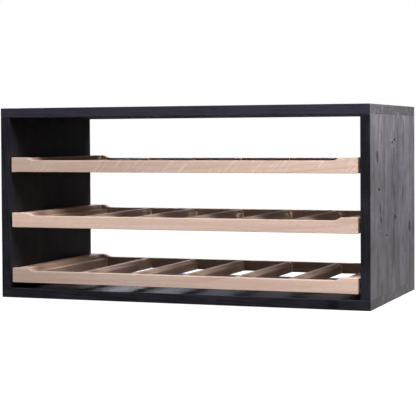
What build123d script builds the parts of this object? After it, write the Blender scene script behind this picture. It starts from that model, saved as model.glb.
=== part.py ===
from build123d import *
from math import sqrt
import os

# A wine rack: an open case of four pine boards, with three pull-out oak shelves.
# Each shelf is a frame of slats that carries six bottles lying on their sides, necks to the front.
# Each shelf slides on two runner strips, which sit in grooves along its sides.
# Millimetres. +X is to the right, +Z is up, and the front faces -Y.
# The origin is the middle of the footprint, on the surface that the rack stands on.

# Case
WIDTH = 600
DEPTH = 300
HEIGHT = 300
BOARD = 15
FRONT = -DEPTH / 2
INSIDE = WIDTH / 2 - BOARD  # from the middle to a side board's inner face

# Shelves
SHELVES = ("lower", "middle", "upper")
LOWEST_SHELF = 24  # underside of the lower shelf
SHELF_PITCH = 87.5
SIDE_GAP = 3.5  # between a shelf and a side board
HALF_SHELF = INSIDE - SIDE_GAP

# Rails: the front and back bars of a shelf, with a shallow notch for the bottles along the top
FRONT_RAIL_HEIGHT = 23
BACK_RAIL_HEIGHT = 22
RAIL_THICKNESS = 12
NOTCH_DEPTH = 4.5
NOTCH_RADIUS = 20  # of the hollow ends of the notch, which run out of its floor
END_BLOCK = 27  # what the notch leaves at full height at each end
RAIL_INNER_FACE = FRONT + RAIL_THICKNESS
SLAT_LENGTH = DEPTH - 2 * RAIL_THICKNESS

# Slats: the bars that the bottles lie between
SLATS = 5
SLAT_PITCH = 85.5
SLAT_WIDTH = 18
SLAT_HEIGHT = 17
SLAT_BEVEL = 5.5
END_SLAT_HEIGHT = 15
SLAT_XS = [(index - (SLATS - 1) / 2) * SLAT_PITCH for index in range(SLATS)]
OUTER_SLOT_EDGE = SLAT_XS[-1] + SLAT_PITCH - SLAT_WIDTH / 2  # inner face of an end slat

# Side rails: the bars at the sides of a shelf, level with the back rail and grooved for the runners
SIDE_RAIL_WIDTH = 23
SIDE_RAIL_HEIGHT = BACK_RAIL_HEIGHT
SIDE_RAIL_INNER_FACE = HALF_SHELF - SIDE_RAIL_WIDTH
END_SLAT_WIDTH = SIDE_RAIL_INNER_FACE - OUTER_SLOT_EDGE
END_SLAT_X = OUTER_SLOT_EDGE + END_SLAT_WIDTH / 2

# Runners: strips on the side boards
RUNNER_WIDTH = 10.5
RUNNER_HEIGHT = 8
RUNNER_RISE = 7  # from a shelf's underside to a runner's underside
RUNNER_FRONT_GAP = 1  # behind the front rail, which stops against the runner
RUNNER_BACK_GAP = 2
RUNNER_PLAY = 0.5  # around a runner in its groove
RUNNER_FACE = INSIDE - RUNNER_WIDTH  # from the middle to a runner's inner face
RUNNER_FRONT = RAIL_INNER_FACE + RUNNER_FRONT_GAP
RUNNER_BACK = DEPTH / 2 - RUNNER_BACK_GAP
GROOVE_DEPTH = HALF_SHELF - RUNNER_FACE + RUNNER_PLAY
GROOVE_HEIGHT = RUNNER_HEIGHT + 2 * RUNNER_PLAY

# Countersunk wood screws that hold the runners
SCREW_YS = (-100, 0, 100)
SCREW_LENGTH = 20
SCREW_HEAD_RADIUS = 3.2
SCREW_HEAD_HEIGHT = 1.7
SCREW_SHANK_RADIUS = 1.7
SCREW_TIP = 3
SCREW_SUNK = 0.3  # head below the runner's face
CROSS_LENGTH = 3.6
CROSS_WIDTH = 0.8
CROSS_DEPTH = 1.2
PILOT_RADIUS = 1.75

# Glued dowels
GLUE = 0.05  # round a dowel
GLUE_END = 0.5  # beyond a dowel's end
DOWEL_CHAMFER = 0.8
SHELF_DOWEL_RADIUS = 3
SHELF_DOWEL_IN_RAIL = 8
SHELF_DOWEL_IN_SLAT = 16
CASE_DOWEL_RADIUS = 4
CASE_DOWEL_IN_BOARD = 10
CASE_DOWEL_IN_SIDE = 20
CASE_DOWEL_YS = (-125, -40, 40, 125)

SLAT_DOWEL_RISE = 7  # from a shelf's underside to the axis of a slat's dowel
SIDE_DOWEL_RISE = SIDE_RAIL_HEIGHT / 2
SIDE_DOWEL_X = SIDE_RAIL_INNER_FACE + 6.5  # clear of the runner's groove


def underside(shelf):
    """Height of a shelf's underside."""
    return LOWEST_SHELF + SHELVES.index(shelf) * SHELF_PITCH


def runner_middle(base):
    """Height of the middle of a shelf's runners, from the shelf's underside."""
    return base + RUNNER_RISE + RUNNER_HEIGHT / 2


def across(y):
    """The plane across the rack at a depth, seen from the front, with its normal towards the front."""
    return Plane.XZ.offset(-y)


def save(piece, name):
    """Label one finished piece and write it."""
    piece.part.label = name
    export_step(piece.part, f"parts/{name}.step")


def flat_board(base):
    """The top or bottom board, with dowel holes for the side boards, by the height of its lower face."""
    dowels = [(side * (INSIDE + BOARD / 2), y) for side in (-1, 1) for y in CASE_DOWEL_YS]
    is_top = base > 0
    mouth = base if is_top else base + BOARD
    depth = CASE_DOWEL_IN_BOARD + GLUE_END
    with BuildPart() as board:
        with BuildSketch(Plane.XY.offset(base)):
            Rectangle(WIDTH, DEPTH)
        extrude(amount=BOARD)
        with BuildSketch(Plane.XY.offset(mouth)):
            with Locations(*dowels):
                Circle(CASE_DOWEL_RADIUS + GLUE)
        extrude(amount=depth if is_top else -depth, mode=Mode.SUBTRACT)
    return board


def left_side_board():
    """A side board, with dowel holes in both ends and pilot holes for the runners' screws."""
    dowels = [(-INSIDE - BOARD / 2, y) for y in CASE_DOWEL_YS]
    depth = CASE_DOWEL_IN_SIDE + GLUE_END
    screws = [(y, runner_middle(underside(shelf))) for shelf in SHELVES for y in SCREW_YS]
    pilot_depth = SCREW_LENGTH + SCREW_SUNK + GLUE_END - RUNNER_WIDTH
    with BuildPart() as board:
        with BuildSketch(Plane.XY.offset(BOARD)):
            with Locations((-INSIDE - BOARD / 2, 0)):
                Rectangle(BOARD, DEPTH)
        extrude(amount=HEIGHT - 2 * BOARD)
        for mouth, way in ((BOARD, 1), (HEIGHT - BOARD, -1)):
            with BuildSketch(Plane.XY.offset(mouth)):
                with Locations(*dowels):
                    Circle(CASE_DOWEL_RADIUS + GLUE)
            extrude(amount=way * depth, mode=Mode.SUBTRACT)
        with BuildSketch(Plane.YZ.offset(-INSIDE)):
            with Locations(*screws):
                Circle(PILOT_RADIUS)
        extrude(amount=-pilot_depth, mode=Mode.SUBTRACT)
    return board


def case_dowels():
    """The dowels of the four corner joints."""
    length = CASE_DOWEL_IN_BOARD + CASE_DOWEL_IN_SIDE
    low = BOARD + (CASE_DOWEL_IN_SIDE - CASE_DOWEL_IN_BOARD) / 2
    middles = [
        (side * (INSIDE + BOARD / 2), y, z)
        for side in (-1, 1)
        for y in CASE_DOWEL_YS
        for z in (low, HEIGHT - low)
    ]
    with BuildPart() as dowels:
        with Locations(*middles):
            Cylinder(CASE_DOWEL_RADIUS, length)
        chamfer(dowels.edges().filter_by(GeomType.CIRCLE), DOWEL_CHAMFER)
    return dowels


def shelf_dowel_places(base):
    """Where one shelf's dowels enter its rails, as (x, z)."""
    slats = [(x, base + SLAT_DOWEL_RISE) for x in SLAT_XS]
    ends = [(side * END_SLAT_X, base + SLAT_DOWEL_RISE) for side in (-1, 1)]
    sides = [(side * SIDE_DOWEL_X, base + SIDE_DOWEL_RISE) for side in (-1, 1)]
    return slats + ends + sides


def notched_rail(base, height, inner_face):
    """A bar across a shelf, with a notch along its top and dowel holes in the face towards the slats."""
    outward = 1 if inner_face < 0 else -1
    floor = base + height - NOTCH_DEPTH
    floor_end = HALF_SHELF - END_BLOCK - sqrt(NOTCH_RADIUS**2 - (NOTCH_RADIUS - NOTCH_DEPTH) ** 2)
    with BuildPart() as rail:
        with BuildSketch(across(inner_face)) as outline:
            with Locations((0, base + height / 2)):
                Rectangle(2 * HALF_SHELF, height)
            with Locations((0, floor + NOTCH_RADIUS)):
                Rectangle(2 * floor_end, 2 * NOTCH_RADIUS, mode=Mode.SUBTRACT)
            with Locations((-floor_end, floor + NOTCH_RADIUS), (floor_end, floor + NOTCH_RADIUS)):
                Circle(NOTCH_RADIUS, mode=Mode.SUBTRACT)
        extrude(outline.sketch, amount=outward * RAIL_THICKNESS)
        with BuildSketch(across(inner_face)) as holes:
            with Locations(*shelf_dowel_places(base)):
                Circle(SHELF_DOWEL_RADIUS + GLUE)
        extrude(holes.sketch, amount=outward * (SHELF_DOWEL_IN_RAIL + GLUE_END), mode=Mode.SUBTRACT)
    return rail


def front_rail(base):
    """A shelf's front rail. Its inner face stops against the front ends of the runners."""
    return notched_rail(base, FRONT_RAIL_HEIGHT, RAIL_INNER_FACE)


def back_rail(base):
    """A shelf's back rail, cut away at its ends to pass the runners."""
    with BuildPart() as rail:
        add(notched_rail(base, BACK_RAIL_HEIGHT, -RAIL_INNER_FACE).part)
        with BuildSketch(across(DEPTH / 2)):
            with Locations((-HALF_SHELF, runner_middle(base)), (HALF_SHELF, runner_middle(base))):
                Rectangle(2 * GROOVE_DEPTH, GROOVE_HEIGHT)
        extrude(amount=RAIL_THICKNESS, mode=Mode.SUBTRACT)
    return rail


def drill_ends(places):
    """Dowel holes in both ends of the bar being built, which runs from rail to rail."""
    depth = SHELF_DOWEL_IN_SLAT + GLUE_END
    for mouth, way in ((RAIL_INNER_FACE, -1), (-RAIL_INNER_FACE, 1)):
        with BuildSketch(across(mouth)) as holes:
            with Locations(*places):
                Circle(SHELF_DOWEL_RADIUS + GLUE)
        extrude(holes.sketch, amount=way * depth, mode=Mode.SUBTRACT)


def inner_slat(x, base):
    """A slat between two bottles, with both upper edges bevelled."""
    with BuildPart() as slat:
        with BuildSketch(across(-RAIL_INNER_FACE)) as section:
            with Locations((x, base + SLAT_HEIGHT / 2)):
                Rectangle(SLAT_WIDTH, SLAT_HEIGHT)
            chamfer(section.vertices().group_by(Axis.Y)[-1], SLAT_BEVEL)
        extrude(amount=SLAT_LENGTH)
        drill_ends([(x, base + SLAT_DOWEL_RISE)])
    return slat


def right_end_slat(base):
    """The plain slat beside a side rail, a little lower than the inner slats."""
    with BuildPart() as slat:
        with BuildSketch(across(-RAIL_INNER_FACE)):
            with Locations((END_SLAT_X, base + END_SLAT_HEIGHT / 2)):
                Rectangle(END_SLAT_WIDTH, END_SLAT_HEIGHT)
        extrude(amount=SLAT_LENGTH)
        drill_ends([(END_SLAT_X, base + SLAT_DOWEL_RISE)])
    return slat


def right_side_rail(base):
    """A shelf's side rail, grooved along its outer face for the runner."""
    with BuildPart() as rail:
        with BuildSketch(across(-RAIL_INNER_FACE)):
            with Locations((HALF_SHELF - SIDE_RAIL_WIDTH / 2, base + SIDE_RAIL_HEIGHT / 2)):
                Rectangle(SIDE_RAIL_WIDTH, SIDE_RAIL_HEIGHT)
            with Locations((HALF_SHELF, runner_middle(base))):
                Rectangle(2 * GROOVE_DEPTH, GROOVE_HEIGHT, mode=Mode.SUBTRACT)
        extrude(amount=SLAT_LENGTH)
        drill_ends([(SIDE_DOWEL_X, base + SIDE_DOWEL_RISE)])
    return rail


def shelf_dowels(base):
    """All of one shelf's dowels, in the joints of its slats and side rails with its front and back rails."""
    length = SHELF_DOWEL_IN_RAIL + SHELF_DOWEL_IN_SLAT
    middle = -RAIL_INNER_FACE + (SHELF_DOWEL_IN_RAIL - SHELF_DOWEL_IN_SLAT) / 2
    middles = [(x, y, z) for x, z in shelf_dowel_places(base) for y in (-middle, middle)]
    with BuildPart() as dowels:
        with Locations(*middles):
            Cylinder(SHELF_DOWEL_RADIUS, length, rotation=(90, 0, 0))
        chamfer(dowels.edges().filter_by(GeomType.CIRCLE), DOWEL_CHAMFER)
    return dowels


def left_runner(base):
    """A runner strip on the left side board, with countersunk holes."""
    middle = runner_middle(base)
    length = RUNNER_BACK - RUNNER_FRONT
    holes = [Plane(origin=(-RUNNER_FACE, y, middle), z_dir=(1, 0, 0)) for y in SCREW_YS]
    with BuildPart() as runner:
        with Locations((-INSIDE + RUNNER_WIDTH / 2, (RUNNER_FRONT + RUNNER_BACK) / 2, middle)):
            Box(RUNNER_WIDTH, length, RUNNER_HEIGHT)
        with Locations(*holes):
            CounterSinkHole(PILOT_RADIUS, SCREW_HEAD_RADIUS + SCREW_SUNK + GLUE)
    return runner


def screw():
    """One countersunk wood screw, pointing down from the origin."""
    with BuildPart() as one:
        with BuildSketch(Plane.XZ):
            Polygon(
                (0, 0),
                (SCREW_HEAD_RADIUS, 0),
                (SCREW_SHANK_RADIUS, -SCREW_HEAD_HEIGHT),
                (SCREW_SHANK_RADIUS, -SCREW_LENGTH + SCREW_TIP),
                (0, -SCREW_LENGTH),
                align=None,
            )
        revolve(axis=Axis.Z)
        with BuildSketch():
            Rectangle(CROSS_LENGTH, CROSS_WIDTH)
            Rectangle(CROSS_WIDTH, CROSS_LENGTH)
        extrude(amount=-CROSS_DEPTH, mode=Mode.SUBTRACT)
    return one


def runner_screws():
    """Every screw that holds a runner to a side board."""
    face = RUNNER_FACE + SCREW_SUNK
    places = [
        Plane(origin=(side * face, y, runner_middle(underside(shelf))), z_dir=(-side, 0, 0))
        for shelf in SHELVES
        for side in (-1, 1)
        for y in SCREW_YS
    ]
    one = screw()
    with BuildPart() as screws:
        with Locations(*places):
            add(one.part)
    return screws


def mirrored(piece):
    """The same piece for the other side of the rack."""
    with BuildPart() as other:
        mirror(piece.part, about=Plane.YZ)
    return other


def build_case():
    left_side = left_side_board()
    save(flat_board(0), "bottom_board")
    save(flat_board(HEIGHT - BOARD), "top_board")
    save(left_side, "left_side_board")
    save(mirrored(left_side), "right_side_board")
    save(case_dowels(), "case_dowels")
    save(runner_screws(), "runner_screws")


def build_shelf(shelf):
    base = underside(shelf)
    save(front_rail(base), f"{shelf}_front_rail")
    save(back_rail(base), f"{shelf}_back_rail")
    for number, x in enumerate(SLAT_XS, start=1):
        save(inner_slat(x, base), f"{shelf}_slat_{number}")
    end_slat = right_end_slat(base)
    save(end_slat, f"{shelf}_right_end_slat")
    save(mirrored(end_slat), f"{shelf}_left_end_slat")
    side_rail = right_side_rail(base)
    save(side_rail, f"{shelf}_right_side_rail")
    save(mirrored(side_rail), f"{shelf}_left_side_rail")
    save(shelf_dowels(base), f"{shelf}_shelf_dowels")
    runner = left_runner(base)
    save(runner, f"{shelf}_left_runner")
    save(mirrored(runner), f"{shelf}_right_runner")


os.makedirs("parts", exist_ok=True)
build_case()
for level in SHELVES:
    build_shelf(level)
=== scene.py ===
import math

import bmesh
import bpy
from mathutils import Matrix, Vector

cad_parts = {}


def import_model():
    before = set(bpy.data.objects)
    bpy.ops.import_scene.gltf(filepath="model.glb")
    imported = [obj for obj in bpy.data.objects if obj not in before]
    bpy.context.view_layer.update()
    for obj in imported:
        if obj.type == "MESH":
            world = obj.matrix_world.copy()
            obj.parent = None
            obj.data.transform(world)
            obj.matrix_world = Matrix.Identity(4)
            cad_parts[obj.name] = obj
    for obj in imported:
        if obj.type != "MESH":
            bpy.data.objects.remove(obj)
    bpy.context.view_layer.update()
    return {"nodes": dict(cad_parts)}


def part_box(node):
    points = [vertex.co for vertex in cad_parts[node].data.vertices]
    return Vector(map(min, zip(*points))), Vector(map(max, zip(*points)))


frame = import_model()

# A wine rack: a black-stained pine case with three pull-out oak shelves.
# Metres, in the frame of the CAD model: +X right, +Z up, the front faces -Y.

NODES = frame["nodes"]
SHELVES = ("lower", "middle", "upper")
SLATS = range(1, 6)
MM = 0.001


# ---------------------------------------------------------------- shader graphs


class Graph:
    """Short calls for building one shader node tree."""

    def __init__(self, tree):
        self.tree = tree

    def node(self, kind, values=None, **settings):
        """Adds a node. Each of its values is a constant or a socket, by the input's name or index."""
        made = self.tree.nodes.new("ShaderNode" + kind)
        for name, setting in settings.items():
            setattr(made, name, setting)
        for key, value in (values or {}).items():
            if isinstance(value, bpy.types.NodeSocket):
                self.tree.links.new(value, made.inputs[key])
            else:
                made.inputs[key].default_value = value
        return made

    def math(self, operation, *values):
        return self.node("Math", dict(enumerate(values)), operation=operation).outputs[0]

    def add(self, a, b):
        return self.math("ADD", a, b)

    def sub(self, a, b):
        return self.math("SUBTRACT", a, b)

    def mul(self, a, b):
        return self.math("MULTIPLY", a, b)

    def smooth(self, value, low, high):
        """0 below low, 1 above high, and a smooth step between. Works downwards where high is below low."""
        values = {"Value": value, "From Min": low, "From Max": high}
        return self.node("MapRange", values, interpolation_type="SMOOTHSTEP").outputs[0]

    def span(self, value, low, high):
        """Turns 0..1 into low..high."""
        return self.node("MapRange", {"Value": value, "To Min": low, "To Max": high}).outputs[0]

    def split(self, vector):
        return self.node("SeparateXYZ", {0: vector}).outputs[:3]

    def join(self, x, y, z):
        return self.node("CombineXYZ", {0: x, 1: y, 2: z}).outputs[0]

    def scaled(self, vector, x, y, z):
        values = {0: vector, 1: (x, y, z)}
        return self.node("VectorMath", values, operation="MULTIPLY").outputs[0]

    def shifted(self, vector, offset):
        return self.node("VectorMath", {0: vector, 1: offset}, operation="ADD").outputs[0]

    def noise(self, vector, detail=2.0, rough=0.5, colour=False):
        values = {"Vector": vector, "Scale": 1.0, "Detail": detail, "Roughness": rough}
        made = self.node("TexNoise", values)
        return made.outputs["Color" if colour else "Fac"]

    def random(self, value, colour=False):
        made = self.node("TexWhiteNoise", {"W": value}, noise_dimensions="1D")
        return made.outputs["Color" if colour else "Value"]

    def mix(self, factor, a, b, blend="MIX"):
        """Mixes two colours."""
        values = {0: factor, 6: a, 7: b}
        return self.node("Mix", values, data_type="RGBA", blend_type=blend).outputs[2]

    def bump(self, height, strength, distance):
        """A normal from a height. The distance is the depth of the relief in metres."""
        values = {"Height": height, "Strength": strength, "Distance": distance}
        return self.node("Bump", values).outputs[0]

    def principled(self, values):
        """Ends the tree in a Principled shader."""
        surface = self.node("BsdfPrincipled", values)
        self.node("OutputMaterial", {"Surface": surface.outputs[0]}).is_active_output = True


def new_material(name):
    """An empty material and its graph."""
    material = bpy.data.materials.new(name)
    material.use_nodes = True
    material.node_tree.nodes.clear()
    return material, Graph(material.node_tree)


def rgb(red, green, blue):
    """A colour given as sRGB values from 0 to 255, made linear."""
    linear = []
    for part in (red, green, blue):
        part /= 255
        linear.append(part / 12.92 if part <= 0.04045 else ((part + 0.055) / 1.055) ** 2.4)
    return (*linear, 1.0)


def grain_space(graph, node, order):
    """A piece's own coordinates in metres, as (along the grain, across, through), from its middle."""
    low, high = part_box(node)
    middle = (low + high) / 2
    place = graph.node("TexCoord").outputs["Object"]
    axes = graph.split(graph.shifted(place, -middle))
    return graph.join(*(axes["xyz".index(letter)] for letter in order))


# ---------------------------------------------------------------- wood


def growth_rings(graph, space, pith, spacing, taper, wobble, seed):
    """Growth rings round a tree's pith, as a latewood line from 0 to 1, and a random value for each ring.

    pith is (across, through) from the piece's middle. The rings lean by taper along the grain,
    which draws long arches on a flat-sawn face.
    """
    seeded = graph.shifted(space, (seed, seed * 0.37, -seed * 0.61))
    slow = graph.noise(graph.scaled(seeded, 2.2, 9, 9), 2, colour=True)
    quick = graph.noise(graph.scaled(seeded, 9, 55, 55), 1, colour=True)
    along, across, through = graph.split(space)
    bend_a, bend_t, bend_r = graph.split(slow)
    fine = graph.split(quick)[0]
    across = graph.add(graph.sub(across, pith[0]), graph.mul(graph.sub(bend_a, 0.5), wobble))
    through = graph.add(graph.sub(through, pith[1]), graph.mul(graph.sub(bend_t, 0.5), wobble))
    squares = graph.add(graph.mul(across, across), graph.mul(through, through))
    radius = graph.add(graph.math("SQRT", squares), graph.mul(along, taper))
    radius = graph.add(radius, graph.mul(graph.sub(fine, 0.5), spacing * 0.9))
    radius = graph.add(radius, graph.mul(graph.sub(bend_r, 0.5), wobble * 0.5))
    turns = graph.mul(graph.add(radius, 0.5), 1 / spacing)
    phase = graph.math("FRACT", turns)
    late = graph.mul(graph.smooth(phase, 0.3, 0.88), graph.smooth(phase, 1.0, 0.92))
    strength = graph.random(graph.math("FLOOR", turns))
    return late, strength


STAVE = 78 * MM  # width of the staves that the case's boards are glued from
STAVE_PITH = (0.0, -30 * MM)  # the tree's middle, from a stave's middle
END_SKIN = 0.4 * MM  # how deep the look of a board's end grain and edges goes

PINE_DARK = rgb(9, 8, 10)
PINE_LIGHT = rgb(47, 44, 51)
PINE_POOL = rgb(4, 4, 5)


def knot_field(g, space, knots):
    """Dark knots and cracks, and the swirl of the grain round them.

    A knot is (along, across, half length, half width, darkness).
    """
    along, across, through = g.split(space)
    ripple = g.sub(g.noise(g.scaled(space, 260, 260, 60), 2), 0.5)
    cores, swirls = 0.0, 0.0
    for knot_along, knot_across, length, width, dark in knots:
        away = g.join(
            g.mul(g.sub(along, knot_along), 1 / length),
            g.mul(g.sub(across, knot_across), 1 / width),
            g.mul(through, 0.04 / width),
        )
        distance = g.node("VectorMath", {0: away}, operation="LENGTH").outputs["Value"]
        distance = g.add(distance, g.mul(ripple, 0.9))
        cores = g.math("MAXIMUM", cores, g.mul(g.smooth(distance, 1.1, 0.75), dark))
        swirls = g.math("MAXIMUM", swirls, g.smooth(distance, 5.0, 0.5))
    return cores, swirls


def black_pine(node, order, first_seam, seed, knots, edge, ends):
    """Black-stained pine, edge-glued from staves, with its grain and knots showing through the stain.

    edge and ends lighten or darken the board's long edges and its end grain; on the long edges this is
    partly the stain and partly painted sheen.
    """
    material, g = new_material(f"black_pine_{node}")
    space = grain_space(g, node, order)
    along, across, through = g.split(space)
    low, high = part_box(node)
    half = [(high["xyz".index(letter)] - low["xyz".index(letter)]) / 2 for letter in order]

    position = g.mul(g.sub(across, first_seam), 1 / STAVE)
    stave = g.math("FLOOR", position)
    in_stave = g.sub(g.math("FRACT", position), 0.5)
    seam = g.smooth(g.math("ABSOLUTE", in_stave), 0.490, 0.497)
    tone, slide, depth = g.split(g.random(g.add(stave, seed), colour=True))

    cores, swirls = knot_field(g, space, knots)
    centred = g.join(
        g.add(along, g.span(tone, -3, 3)),
        g.add(g.mul(in_stave, STAVE), g.span(slide, -0.012, 0.012)),
        g.add(g.add(through, g.span(depth, -0.012, 0.012)), g.mul(swirls, 0.014)),
    )
    late, strength = growth_rings(
        g, centred, STAVE_PITH, spacing=4.6 * MM, taper=0.045, wobble=16 * MM, seed=seed * 1.7
    )
    line = g.mul(late, g.span(strength, 0.35, 1.0))

    seeded = g.shifted(space, (seed, seed * 0.6, 0))
    fibre = g.noise(g.scaled(seeded, 22, 900, 900), 3, 0.6)
    lines = g.noise(g.scaled(seeded, 7, 330, 330), 2, 0.6)
    streak = g.noise(g.scaled(seeded, 4, 62, 62), 2, 0.55)
    blotch = g.noise(g.scaled(seeded, 13, 34, 34), 3, 0.6)
    mottle = g.noise(g.scaled(seeded, 70, 70, 70), 2, 0.6)
    layers = (
        (fibre, 0.45),
        (lines, 0.6),
        (streak, 0.75),
        (blotch, 1.4),
        (mottle, 0.75),
        (tone, 0.2),
    )
    shade = 0.5
    for layer, amount in layers:
        shade = g.add(shade, g.mul(g.sub(layer, 0.5), amount))
    shade = g.sub(shade, g.mul(line, 0.42))

    on_edge = g.smooth(g.math("ABSOLUTE", across), half[1] - END_SKIN, half[1] - END_SKIN / 2)
    on_end = g.smooth(g.math("ABSOLUTE", along), half[0] - END_SKIN, half[0] - END_SKIN / 2)
    slant = g.join(g.add(across, g.mul(through, -1.1)), g.mul(through, 0.35), 0.0)
    rings = g.noise(g.scaled(slant, 95, 160, 1), 2, 0.6)
    shade = g.add(shade, g.mul(on_edge, edge))
    shade = g.add(shade, g.mul(on_end, g.add(g.mul(g.sub(rings, 0.5), 2.6), ends)))

    colour = g.mix(shade, PINE_DARK, PINE_LIGHT)
    colour = g.mix(g.mul(seam, 0.35), colour, PINE_POOL)
    colour = g.mix(cores, colour, PINE_POOL)
    roughness = g.sub(g.span(fibre, 0.40, 0.55), g.add(g.mul(cores, 0.25), g.mul(line, 0.06)))
    relief = g.add(g.mul(line, 0.6), g.mul(fibre, 0.55))
    relief = g.sub(g.sub(relief, g.mul(seam, 0.8)), g.mul(cores, 1.4))
    g.principled(
        {
            "Base Color": colour,
            "Roughness": roughness,
            "Normal": g.bump(relief, 0.35, 0.25 * MM),
            "IOR": 1.4,
            "Specular Tint": (0.92, 0.9, 1.0, 1.0),
            "Sheen Weight": 0.02,
            "Sheen Roughness": 0.42,
            "Sheen Tint": (0.96, 0.93, 1.0, 1.0),
        }
    )
    return material


OAK_LIGHT = rgb(236, 206, 181)
OAK_MID = rgb(208, 172, 146)
OAK_DARK = rgb(158, 121, 93)
OAK_RAY = rgb(245, 226, 200)
RAY_SLANT = math.radians(-46)


def oak(node, order, seed, pith, rays=0.0, tone_and_painted_shade=(1.0, 1.0), contrast=0.42):
    """Planed, matt-oiled oak, with open pores along the grain, and ray flecks where it is quarter-sawn.

    tone_and_painted_shade is how light the wood is at its two ends, partly its own tone and partly painted
    shade, and contrast is how dark its rings are.
    """
    material, g = new_material(f"oak_{node}")
    space = grain_space(g, node, order)
    late, strength = growth_rings(
        g, space, pith, spacing=2.6 * MM, taper=0.014, wobble=10 * MM, seed=seed * 2.3
    )
    seeded = g.shifted(space, (seed * 1.9, seed, -seed))
    fibre = g.noise(g.scaled(seeded, 30, 1300, 1300), 3, 0.6)
    streak = g.noise(g.scaled(seeded, 3.5, 150, 150), 3, 0.6)
    blotch = g.noise(g.scaled(seeded, 5, 22, 22), 2)
    pore = g.smooth(g.noise(g.scaled(seeded, 130, 2100, 2100), 1), 0.63, 0.72)
    pore = g.mul(pore, g.span(late, 1.0, 0.25))

    shade = g.add(g.mul(g.sub(streak, 0.5), 1.1), g.mul(g.sub(blotch, 0.5), 0.7))
    shade = g.add(shade, g.mul(g.sub(fibre, 0.5), 0.6))
    shade = g.sub(g.add(shade, 0.66), g.mul(g.mul(late, strength), contrast))
    colour = g.mix(shade, OAK_MID, OAK_LIGHT)
    colour = g.mix(g.mul(pore, 0.55), colour, OAK_DARK)
    relief = g.sub(g.mul(fibre, 0.35), pore)
    if rays:
        # rays lie aslant the grain, in short bright bands
        turn = {"Vector": seeded, "Angle": RAY_SLANT}
        turned = g.node("VectorRotate", turn, rotation_type="Z_AXIS").outputs[0]
        band = g.noise(g.scaled(turned, 28, 420, 120), 2, 0.55)
        gate = g.noise(g.scaled(seeded, 26, 30, 30), 1)
        fleck = g.mul(g.smooth(band, 0.56, 0.64), g.smooth(gate, 0.34, 0.52))
        fleck = g.mul(fleck, rays)
        colour = g.mix(fleck, colour, OAK_RAY)
    low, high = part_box(node)
    length = max(high - low)
    # multiplies the colour from end to end: partly the wood's own tone, partly painted shade
    tone_and_shade_greys = [(tone, tone, tone, 1.0) for tone in tone_and_painted_shade]
    fade = g.smooth(g.split(space)[0], -length / 2, length / 2)
    colour = g.mix(1.0, colour, g.mix(fade, *tone_and_shade_greys), "MULTIPLY")
    roughness = g.add(g.span(fibre, 0.50, 0.64), g.mul(pore, 0.15))
    normal = g.bump(relief, 0.4, 0.15 * MM)
    g.principled({"Base Color": colour, "Roughness": roughness, "Normal": normal, "IOR": 1.48})
    return material


BEECH_DARK = rgb(186, 148, 112)
BEECH_LIGHT = rgb(222, 190, 152)
STAINED_DARK = rgb(20, 19, 22)
STAINED_LIGHT = rgb(48, 46, 52)


def beech(name, node, order, dark, light, roughness):
    """Plain fine-grained beech, for the dowels, or stained black for the runners."""
    material, g = new_material(f"{name}_{node}")
    space = grain_space(g, node, order)
    fibre = g.noise(g.scaled(space, 40, 1100, 1100), 3, 0.6)
    fleck = g.smooth(g.noise(g.scaled(space, 350, 1500, 1500), 1), 0.6, 0.7)
    shade = g.sub(g.add(g.mul(g.sub(fibre, 0.5), 1.2), 0.6), g.mul(fleck, 0.4))
    g.principled(
        {
            "Base Color": g.mix(shade, dark, light),
            "Roughness": g.span(fibre, roughness, roughness + 0.12),
            "Normal": g.bump(fibre, 0.3, 0.1 * MM),
        }
    )
    return material


def zinc(node):
    """Bright zinc plate, slightly uneven."""
    material, g = new_material(f"zinc_{node}")
    place = g.node("TexCoord").outputs["Object"]
    cloud = g.noise(g.scaled(place, 420, 420, 420), 3)
    g.principled(
        {
            "Base Color": g.mix(cloud, rgb(176, 178, 184), rgb(204, 206, 212)),
            "Metallic": 1.0,
            "Roughness": g.span(cloud, 0.24, 0.42),
        }
    )
    return material


# ---------------------------------------------------------------- edges


def outline(mesh):
    """Indices of the vertices on a piece's corners and arrises, but not on the rims of its round holes."""
    welded = bmesh.new()
    welded.from_mesh(mesh)
    bmesh.ops.remove_doubles(welded, verts=welded.verts, dist=1e-6)
    turns = {}
    for edge in welded.edges:
        if len(edge.link_faces) == 2 and edge.calc_face_angle() > math.radians(30):
            for vertex in edge.verts:
                turns.setdefault(vertex, []).append(edge)
    kept, seen = set(), set()
    for start in turns:
        if start in seen:
            continue
        loop, ahead, has_corner = [], [start], False
        seen.add(start)
        while ahead:
            vertex = ahead.pop()
            loop.append(vertex)
            ways = [edge.other_vert(vertex) for edge in turns[vertex]]
            if len(ways) != 2:
                has_corner = True
            else:
                bend = (ways[0].co - vertex.co).angle(vertex.co - ways[1].co)
                has_corner = has_corner or bend > math.radians(40)
            for other in ways:
                if other not in seen:
                    seen.add(other)
                    ahead.append(other)
        if has_corner:
            kept.update(tuple(round(c, 5) for c in vertex.co) for vertex in loop)
    welded.free()
    return [v.index for v in mesh.vertices if tuple(round(c, 5) for c in v.co) in kept]


def soften(node, width):
    """Rounds a piece's edges, as a sander leaves them."""
    piece = NODES[node]
    group = piece.vertex_groups.new(name="outline")
    group.add(outline(piece.data), 1.0, "REPLACE")
    piece.modifiers.new("joined", "WELD").merge_threshold = 1e-6
    flat = piece.modifiers.new("flat faces", "DECIMATE")
    flat.decimate_type = "DISSOLVE"
    flat.angle_limit = math.radians(0.5)
    bevel = piece.modifiers.new("soft edges", "BEVEL")
    bevel.limit_method = "VGROUP"
    bevel.vertex_group = group.name
    bevel.width = width
    bevel.segments = 3
    shading = piece.modifiers.new("shading", "WEIGHTED_NORMAL")
    shading.keep_sharp = True


def finish_node(node, material):
    """Gives a CAD piece its material."""
    for slot in NODES[node].material_slots:
        slot.material = material


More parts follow.
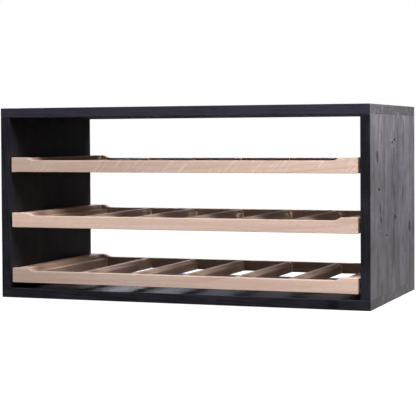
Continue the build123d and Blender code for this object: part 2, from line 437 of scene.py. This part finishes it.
BOARDS = {
    # first_seam is a glue joint's place across the board, edge and ends lighten or darken its edges and
    # end grain, and a knot is (along, across, half length, half width, darkness)
    # the lighter edges of the top and bottom boards are partly painted sheen
    "top_board": {
        "order": "xyz",
        "first_seam": -0.131,
        "seed": 3,
        "edge": 0.46,
        "ends": -0.5,
        "knots": [(-0.11, -0.05, 0.009, 0.006, 0.8), (0.19, 0.06, 0.007, 0.005, 0.7)],
    },
    "bottom_board": {
        "order": "xyz",
        "first_seam": -0.118,
        "seed": 5,
        "edge": 0.12,
        "ends": -0.25,
        "knots": [(0.243, -0.15, 0.009, 0.004, 0.6), (-0.17, 0.04, 0.009, 0.006, 0.8)],
    },
    "left_side_board": {
        "order": "zyx",
        "first_seam": -0.121,
        "seed": 8,
        "edge": -0.1,
        "ends": -0.2,
        "knots": [(0.04, 0.03, 0.007, 0.005, 0.7), (-0.09, -0.09, 0.006, 0.004, 0.7)],
    },
    "right_side_board": {
        "order": "zyx",
        "first_seam": -0.125,
        "seed": 11,
        "edge": -0.28,
        "ends": -0.2,
        "knots": [
            (0.073, -0.107, 0.0085, 0.0042, 1.0),
            (0.097, 0.004, 0.0026, 0.0068, 1.0),
            (0.093, -0.009, 0.0020, 0.0050, 1.0),
            (0.024, -0.097, 0.0028, 0.0058, 1.0),
            (-0.006, -0.090, 0.0085, 0.0034, 0.8),
            (-0.022, -0.084, 0.0060, 0.0036, 0.8),
            (-0.022, 0.009, 0.0030, 0.0068, 1.0),
            (-0.043, 0.110, 0.0100, 0.0068, 1.0),
            (-0.047, -0.050, 0.0022, 0.0048, 0.9),
            (-0.080, 0.074, 0.0016, 0.0045, 0.7),
        ],
    },
}
for board, look in BOARDS.items():
    finish_node(board, black_pine(board, **look))
    soften(board, 0.6 * MM)

# the left and right ends of each front rail, partly its wood and partly standing in for uneven light
RAIL_TONES = {"lower": (0.72, 1.02), "middle": (1.02, 0.96), "upper": (0.75, 1.01)}
RAIL_RAYS = {"lower": 0.15, "middle": 0.1, "upper": 0.5}
BACK_TONES = (0.6, 0.6)  # the same wood, darkened to stand in for the shade of a rack with bottles in it

for level, shelf in enumerate(SHELVES):
    seed = 20 + 13 * level
    for part, depth, tone_and_painted_shade in (("front_rail", 0.06, RAIL_TONES[shelf]), ("back_rail", 0.09, BACK_TONES)):
        name = f"{shelf}_{part}"
        finish_node(name, oak(name, "xzy", seed, (0.012, -depth), RAIL_RAYS[shelf], tone_and_painted_shade))
        soften(name, 0.8 * MM)
        seed += 1
    for part in ("left_side_rail", "right_side_rail", "left_end_slat", "right_end_slat"):
        name = f"{shelf}_{part}"
        # darkened a little, to 0.95: painted shade
        finish_node(name, oak(name, "yxz", seed, (0.01, -0.05), tone_and_painted_shade=(0.95, 0.95)))
        soften(name, 0.6 * MM)
        seed += 1
    for number in SLATS:
        name = f"{shelf}_slat_{number}"
        pith = (0.004 * (number - 3), -0.035)
        # darkened to 0.86: painted shade
        finish_node(name, oak(name, "yxz", seed, pith, tone_and_painted_shade=(0.86, 0.86), contrast=1.2))
        soften(name, 0.8 * MM)
        seed += 1
    name = f"{shelf}_shelf_dowels"
    finish_node(name, beech("beech", name, "yxz", BEECH_DARK, BEECH_LIGHT, 0.5))
    for side in ("left", "right"):
        name = f"{shelf}_{side}_runner"
        finish_node(name, beech("black_beech", name, "yxz", STAINED_DARK, STAINED_LIGHT, 0.38))
        soften(name, 0.5 * MM)
finish_node("case_dowels", beech("beech", "case_dowels", "zyx", BEECH_DARK, BEECH_LIGHT, 0.5))
finish_node("runner_screws", zinc("runner_screws"))


# ---------------------------------------------------------------- studio

BACKDROP = (-0.47, 0.88, 0.1)  # where the brighter backdrop is, from the rack
COOL = (0.95, 0.97, 1.1)
WARM = (1.0, 0.98, 0.94)

CAMERA_PLACE = (0.7899, -2.1333, 0.2560)
CAMERA_LENS = 122.02  # millimetres
CAMERA_SHIFT = -0.0913
CAMERA_YAW = 0.3568  # radians, towards the left
CAMERA_PITCH = 0.0249  # downwards
CAMERA_ROLL = -0.0059


def floor():
    """A plain floor, far larger than the rack.

    The camera sees it as plain white, by a glow that only camera rays meet. To the lights it is
    nearly black, so it throws next to no light back onto the rack and takes no visible shadow.
    """
    mesh = bpy.data.meshes.new("floor")
    half = 30.0
    corners = [(-half, -half, 0), (half, -half, 0), (half, half, 0), (-half, half, 0)]
    mesh.from_pydata(corners, [], [(0, 1, 2, 3)])
    made = bpy.data.objects.new("floor", mesh)
    bpy.context.scene.collection.objects.link(made)
    material = bpy.data.materials.new("pale_floor")
    material.use_nodes = True
    shader = material.node_tree.nodes["Principled BSDF"]
    shader.inputs["Base Color"].default_value = (0.05, 0.05, 0.05, 1)
    shader.inputs["Roughness"].default_value = 0.9
    shader.inputs["Specular IOR Level"].default_value = 0.0
    shader.inputs["Emission Color"].default_value = (1, 1, 1, 1)
    g = Graph(material.node_tree)
    eye = g.node("LightPath").outputs["Is Camera Ray"]
    g.tree.links.new(eye, shader.inputs["Emission Strength"])
    mesh.materials.append(material)
    made.location.z = -0.1 * MM


def softbox(name, place, target, width, height, power, colour):
    """A rectangular soft light that points at a target."""
    light = bpy.data.lights.new(name, "AREA")
    light.shape = "RECTANGLE"
    light.size, light.size_y = width, height
    light.energy = power
    light.color = colour
    made = bpy.data.objects.new(name, light)
    bpy.context.scene.collection.objects.link(made)
    made.location = place
    away = Vector(place) - Vector(target)
    made.rotation_euler = away.to_track_quat("Z", "Y").to_euler()


def world():
    """A dim surround, a little brighter behind the rack. Camera rays meet plain white instead."""
    made = bpy.data.worlds.new("studio")
    bpy.context.scene.world = made
    made.use_nodes = True
    made.node_tree.nodes.clear()
    g = Graph(made.node_tree)
    way = g.node("TexCoord").outputs["Generated"]
    facing = g.node("VectorMath", {0: way, 1: BACKDROP}, operation="DOT_PRODUCT").outputs["Value"]
    strength = g.span(g.smooth(facing, 0.6, 0.95), 0.07, 0.25)
    fill = g.node("Background", {"Color": (0.93, 0.94, 1, 1), "Strength": strength})
    seen = g.node("Background", {"Color": (1, 1, 1, 1), "Strength": 1.0})
    eye = g.node("LightPath").outputs["Is Camera Ray"]
    mixed = g.node("MixShader", {0: eye, 1: fill.outputs[0], 2: seen.outputs[0]})
    g.node("OutputWorld", {"Surface": mixed.outputs[0]})


def camera():
    data = bpy.data.cameras.new("camera")
    made = bpy.data.objects.new("camera", data)
    bpy.context.scene.collection.objects.link(made)
    data.sensor_width = 36
    data.lens = CAMERA_LENS
    data.shift_y = CAMERA_SHIFT
    data.clip_end = 100
    made.location = CAMERA_PLACE
    turn = Matrix.Rotation(CAMERA_YAW, 3, "Z") @ Matrix.Rotation(math.pi / 2 - CAMERA_PITCH, 3, "X")
    made.rotation_euler = (turn @ Matrix.Rotation(CAMERA_ROLL, 3, "Z")).to_euler()
    bpy.context.scene.camera = made


floor()
world()
camera()
softbox("front_softbox", (0.6, -1.4, 2.1), (0, 0, 0.15), 1.4, 0.7, 87, COOL)
softbox("far_softbox", (-0.45, -2.55, 0.95), (0, 0, 0.15), 1.1, 0.5, 5, COOL)
softbox("back_softbox", (-1.3, 1.4, 0.95), (0, 0, 0.15), 1.4, 1.0, 19, COOL)
softbox("left_softbox", (-0.75, 0.1, 0.7), (-0.3, 0, 0.2), 0.3, 0.3, 14, WARM)
softbox("right_softbox", (0.68, 0.12, 0.68), (0.3, 0, 0.2), 0.3, 0.22, 50, WARM)

view = bpy.context.scene.view_settings
view.view_transform = "Standard"
view.look = "None"
view.exposure = 0
view.gamma = 1
